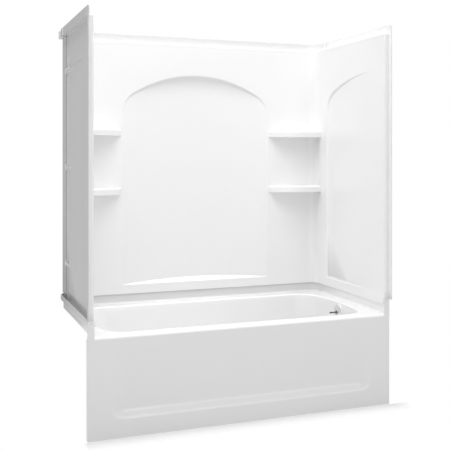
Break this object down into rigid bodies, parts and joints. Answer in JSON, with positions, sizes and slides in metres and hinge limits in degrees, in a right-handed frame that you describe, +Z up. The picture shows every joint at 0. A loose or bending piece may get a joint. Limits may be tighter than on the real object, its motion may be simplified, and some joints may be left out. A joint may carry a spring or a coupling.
{
  "type": "alcove bath with shower surround",
  "caption": "White moulded alcove bathtub with a back wall and two end walls: arched recesses, corner shelves, nailing flanges and a lever-worked pop-up drain.",
  "frame": {"origin": "on the floor, at the middle of the width and of the overall depth", "axes": "+X towards the drain end, +Y towards the back wall, +Z up"},
  "size_m": [1.524, 0.811, 1.905],
  "materials": {
    "white_moulding": "gloss white moulded composite",
    "clip_plastic": "satin moulded plastic",
    "foam": "matt foam",
    "chrome_trim": "polished chrome",
    "brass_rod": "drawn brass",
    "spring_wire": "bright wire",
    "pipe_plastic": "satin white pipe plastic",
    "nut_plastic": "satin white nut plastic",
    "seal_rubber": "matt black rubber"
  },
  "bodies": {
    "bath_and_walls": {"bathtub": "white_moulding", "back_wall": "white_moulding", "left_end_wall": "white_moulding", "right_end_wall": "white_moulding", "left_wall_clips": "clip_plastic", "right_wall_clips": "clip_plastic", "floor_support": "foam", "overflow_faceplate": "chrome_trim", "faceplate_screws": "chrome_trim", "lever_pin": "brass_rod", "overflow_gasket": "seal_rubber", "overflow_elbow": "pipe_plastic", "overflow_tube": "pipe_plastic", "waste_tee": "pipe_plastic", "slip_nuts": "nut_plastic", "slip_washers": "seal_rubber", "shoe_tube": "pipe_plastic", "drain_shoe": "pipe_plastic", "shoe_gasket": "seal_rubber", "drain_flange": "chrome_trim", "tailpiece": "pipe_plastic"},
    "lever": {"trip_lever": "chrome_trim"},
    "linkage": {"linkage_rod": "brass_rod", "linkage_nuts": "brass_rod", "linkage_spring": "spring_wire"},
    "rocker": {"rocker_arm": "brass_rod"},
    "stopper": {"drain_stopper": "chrome_trim", "stopper_seal": "seal_rubber"}
  },
  "joints": [
    {"name": "trip_lever_hinge", "type": "hinge", "parent": "bath_and_walls", "child": "lever", "pos_m": [0.685, -0.0045, 0.4], "axis": [0, 1, 0], "range_deg": [-25, 25]},
    {"name": "linkage_slide", "type": "slide", "parent": "bath_and_walls", "child": "linkage", "axis": [0, 0, -1], "range_m": [-0.01047, 0.01047]},
    {"name": "rocker_hinge", "type": "hinge", "parent": "bath_and_walls", "child": "rocker", "pos_m": [0.591, -0.0045, 0.0487], "axis": [0, 1, 0], "range_deg": [-5.08, 5.08]},
    {"name": "stopper_slide", "type": "slide", "parent": "bath_and_walls", "child": "stopper", "axis": [0, 0, 1], "range_m": [-0.00547, 0.00547]}
  ],
  "couplings": [
    {"joint": "linkage_slide", "follows": "trip_lever_hinge", "m_per_rad": 0.024},
    {"joint": "rocker_hinge", "follows": "trip_lever_hinge", "ratio": 0.20339},
    {"joint": "stopper_slide", "follows": "trip_lever_hinge", "m_per_rad": 0.012529}
  ]
}
